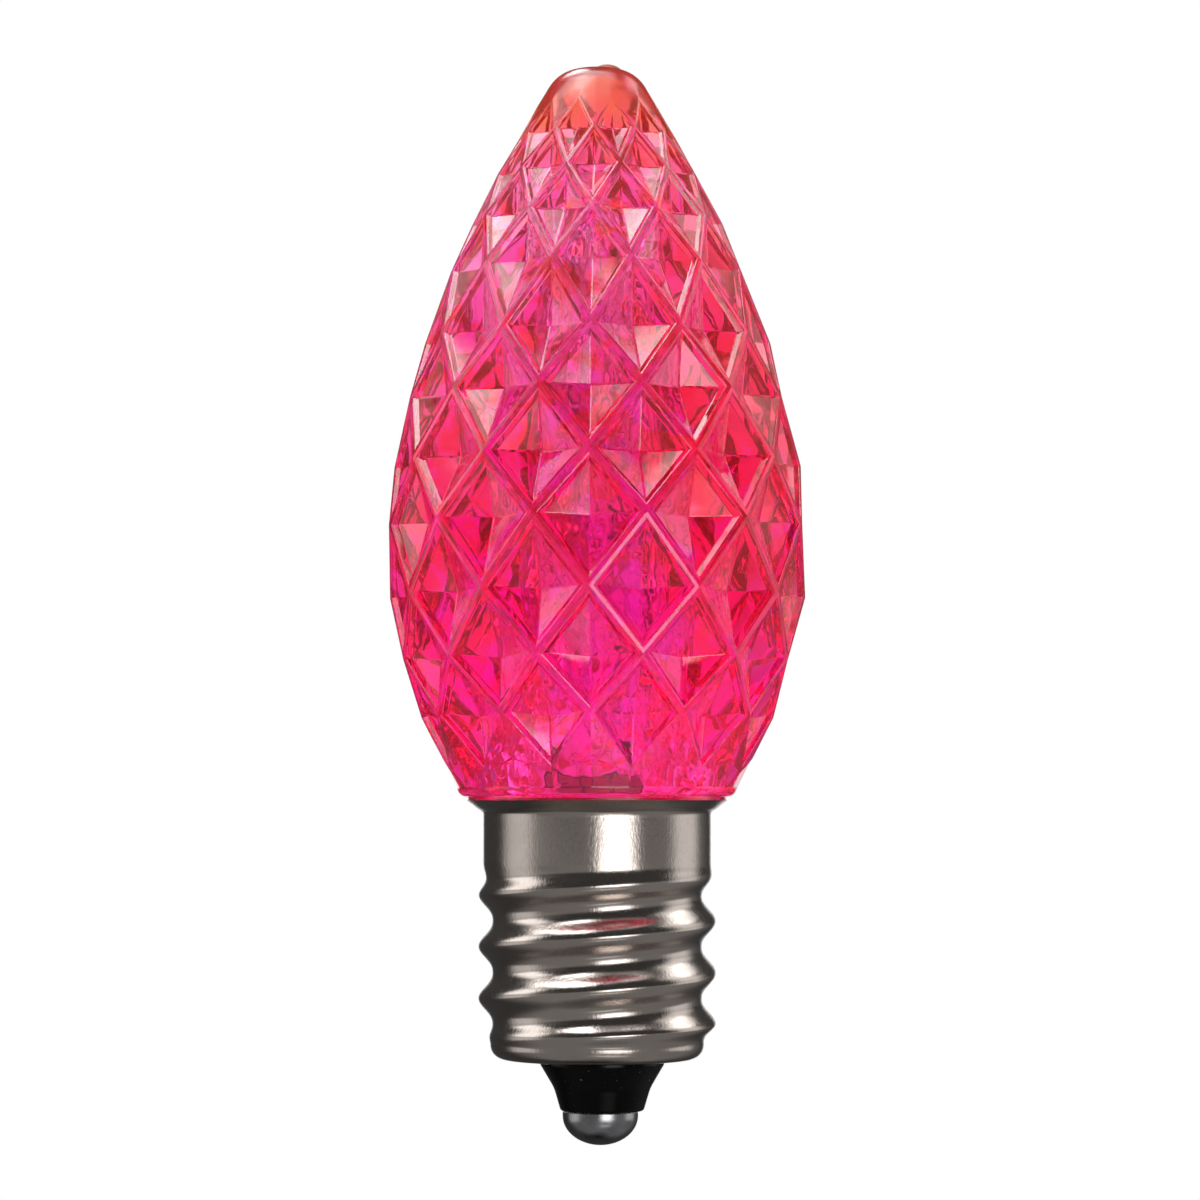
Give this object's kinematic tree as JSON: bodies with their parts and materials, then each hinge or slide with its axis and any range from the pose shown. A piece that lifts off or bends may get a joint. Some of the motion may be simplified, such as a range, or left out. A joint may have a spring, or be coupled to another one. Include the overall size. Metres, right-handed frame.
{
  "type": "christmas light bulb",
  "caption": "Small candle-shaped decoration lamp: pink diamond-faceted plastic lens on a rolled screw shell with black insulator and end contact.",
  "frame": {"origin": "tip of the end contact, on the lamp's axis", "axes": "+Z along the lamp's axis from the contact to the lens's tip; +X to the right when the circuit board's front face is seen"},
  "size_m": [0.0206, 0.0206, 0.0536],
  "materials": {
    "lens": "clear tinted pink, polished mould facets",
    "screw_shell": "satin nickel plate on drawn brass",
    "insulator": "glossy black, moulded",
    "centre_contact": "dull solder",
    "circuit_board": "dark green solder mask",
    "light_chip": "white moulded package",
    "drive_part": "black moulded package",
    "lead_wire": "tinned"
  },
  "bodies": {
    "root": {"lens": "lens", "screw_shell": "screw_shell", "insulator": "insulator", "centre_contact": "centre_contact", "circuit_board": "circuit_board", "light_chip_front_1": "light_chip", "light_chip_front_2": "light_chip", "light_chip_front_3": "light_chip", "light_chip_back_1": "light_chip", "light_chip_back_2": "light_chip", "light_chip_back_3": "light_chip", "rectifier": "drive_part", "resistor_lower": "drive_part", "resistor_upper": "drive_part", "centre_lead": "lead_wire", "side_lead": "lead_wire"}
  },
  "joints": []
}
